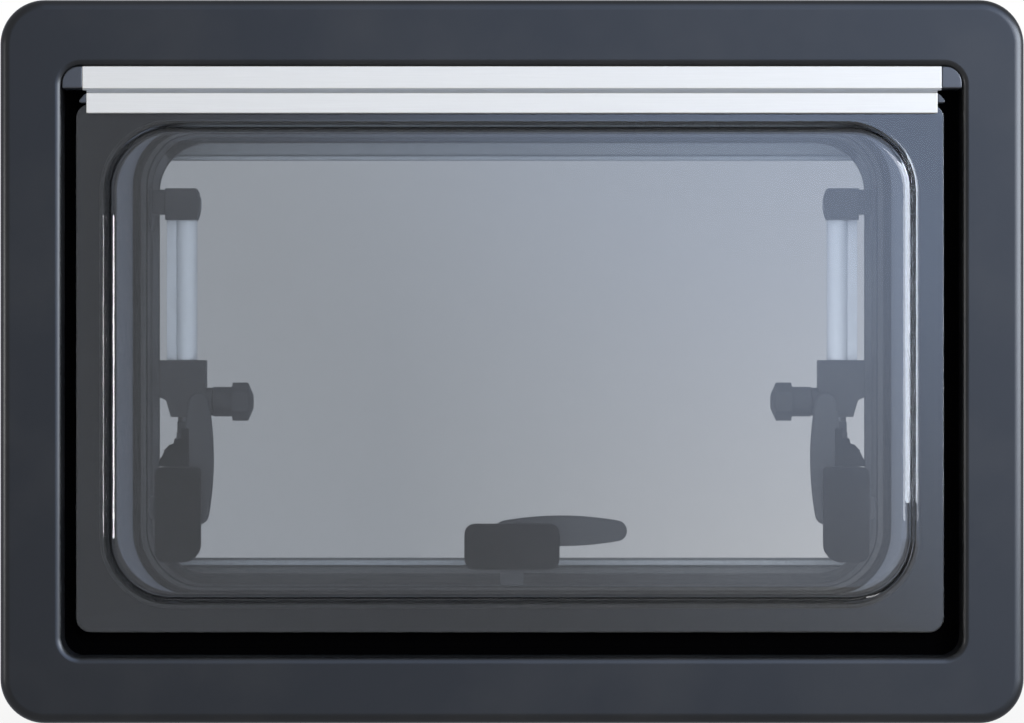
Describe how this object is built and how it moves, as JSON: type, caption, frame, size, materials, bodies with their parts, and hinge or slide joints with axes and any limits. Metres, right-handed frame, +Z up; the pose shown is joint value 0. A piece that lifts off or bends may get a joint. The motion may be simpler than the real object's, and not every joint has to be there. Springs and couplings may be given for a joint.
{
  "type": "caravan window",
  "caption": "Top-hung caravan window: framed double acrylic sash on a hinge rail, with two telescopic stays and three latches.",
  "frame": {"origin": "middle of the bottom flange strip, on the flat back face that rests on the wall's outer skin", "axes": "+X to the right seen from outside, +Y into the wall, +Z up"},
  "size_m": [0.68, 0.081, 0.48],
  "materials": {
    "frame_foam": "satin, fine grain",
    "trim_plastic": "satin",
    "seal_rubber": "matt",
    "rail_aluminium": "satin anodised",
    "bar_plastic": "satin",
    "acrylic": "clear",
    "bond_black": "satin",
    "cap_plastic": "satin",
    "dark_plastic": "satin",
    "knob_plastic": "satin",
    "pin_steel": "zinc plated",
    "tube_aluminium": "satin anodised",
    "rod_steel": "satin"
  },
  "bodies": {
    "frame": {"outer_frame": "frame_foam", "inner_frame": "trim_plastic", "frame_seal": "seal_rubber", "hinge_rail_upper": "rail_aluminium", "end_cap_left": "cap_plastic", "end_cap_right": "cap_plastic", "stay_bracket_left": "dark_plastic", "stay_bracket_right": "dark_plastic", "bracket_pin_left": "pin_steel", "bracket_pin_right": "pin_steel", "screen_bar_top": "bar_plastic", "blind_bar_bottom": "bar_plastic"},
    "sash": {"outer_pane": "acrylic", "inner_pane": "acrylic", "edge_bond": "bond_black", "hinge_rail_lower": "rail_aluminium", "rail_end_left": "cap_plastic", "rail_end_right": "cap_plastic", "latch_base_left": "dark_plastic", "latch_base_centre": "dark_plastic", "latch_base_right": "dark_plastic", "stay_foot_left": "dark_plastic", "stay_foot_right": "dark_plastic"},
    "latch_left": {"latch_lever_left": "knob_plastic", "latch_tongue_left": "dark_plastic"},
    "latch_centre": {"latch_lever_centre": "knob_plastic", "latch_tongue_centre": "dark_plastic"},
    "latch_right": {"latch_lever_right": "knob_plastic", "latch_tongue_right": "dark_plastic"},
    "stay_left": {"stay_head_left": "dark_plastic", "stay_tube_left": "tube_aluminium", "stay_clamp_left": "dark_plastic"},
    "knob_left": {"stay_knob_left": "knob_plastic"},
    "rod_left": {"stay_rod_left": "rod_steel", "rod_end_left": "dark_plastic"},
    "stay_right": {"stay_head_right": "dark_plastic", "stay_tube_right": "tube_aluminium", "stay_clamp_right": "dark_plastic"},
    "knob_right": {"stay_knob_right": "knob_plastic"},
    "rod_right": {"stay_rod_right": "rod_steel", "rod_end_right": "dark_plastic"}
  },
  "joints": [
    {"name": "sash_open", "type": "hinge", "parent": "frame", "child": "sash", "pos_m": [0, -0.019, 0.401], "axis": [-1, 0, 0], "range_deg": [0, 50]},
    {"name": "stay_swing_left", "type": "hinge", "parent": "frame", "child": "stay_left", "pos_m": [-0.2213, 0.024, 0.327], "axis": [-1, 0, 0], "range_deg": [0, 60.1]},
    {"name": "stay_extend_left", "type": "slide", "parent": "stay_left", "child": "rod_left", "axis": [0, 0, -1], "range_m": [0, 0.0631]},
    {"name": "knob_turn_left", "type": "hinge", "parent": "stay_left", "child": "knob_left", "pos_m": [-0.19, 0.024, 0.1927], "axis": [1, 0, 0], "range_deg": [0, 180]},
    {"name": "stay_swing_right", "type": "hinge", "parent": "frame", "child": "stay_right", "pos_m": [0.2213, 0.024, 0.327], "axis": [-1, 0, 0], "range_deg": [0, 60.1]},
    {"name": "stay_extend_right", "type": "slide", "parent": "stay_right", "child": "rod_right", "axis": [0, 0, -1], "range_m": [0, 0.0631]},
    {"name": "knob_turn_right", "type": "hinge", "parent": "stay_right", "child": "knob_right", "pos_m": [0.19, 0.024, 0.1927], "axis": [1, 0, 0], "range_deg": [0, 180]},
    {"name": "latch_turn_left", "type": "hinge", "parent": "sash", "child": "latch_left", "pos_m": [-0.2225, 0.002, 0.1215], "axis": [0, 1, 0], "range_deg": [0, 90]},
    {"name": "latch_turn_centre", "type": "hinge", "parent": "sash", "child": "latch_centre", "pos_m": [0, 0.002, 0.0955], "axis": [0, -1, 0], "range_deg": [0, 90]},
    {"name": "latch_turn_right", "type": "hinge", "parent": "sash", "child": "latch_right", "pos_m": [0.2225, 0.002, 0.1215], "axis": [0, -1, 0], "range_deg": [0, 90]}
  ],
  "couplings": [
    {"joint": "stay_swing_left", "follows": "sash_open", "ratio": 1.2017},
    {"joint": "stay_extend_left", "follows": "sash_open", "m_per_rad": 0.07222},
    {"joint": "stay_swing_right", "follows": "sash_open", "ratio": 1.2017},
    {"joint": "stay_extend_right", "follows": "sash_open", "m_per_rad": 0.07222}
  ]
}
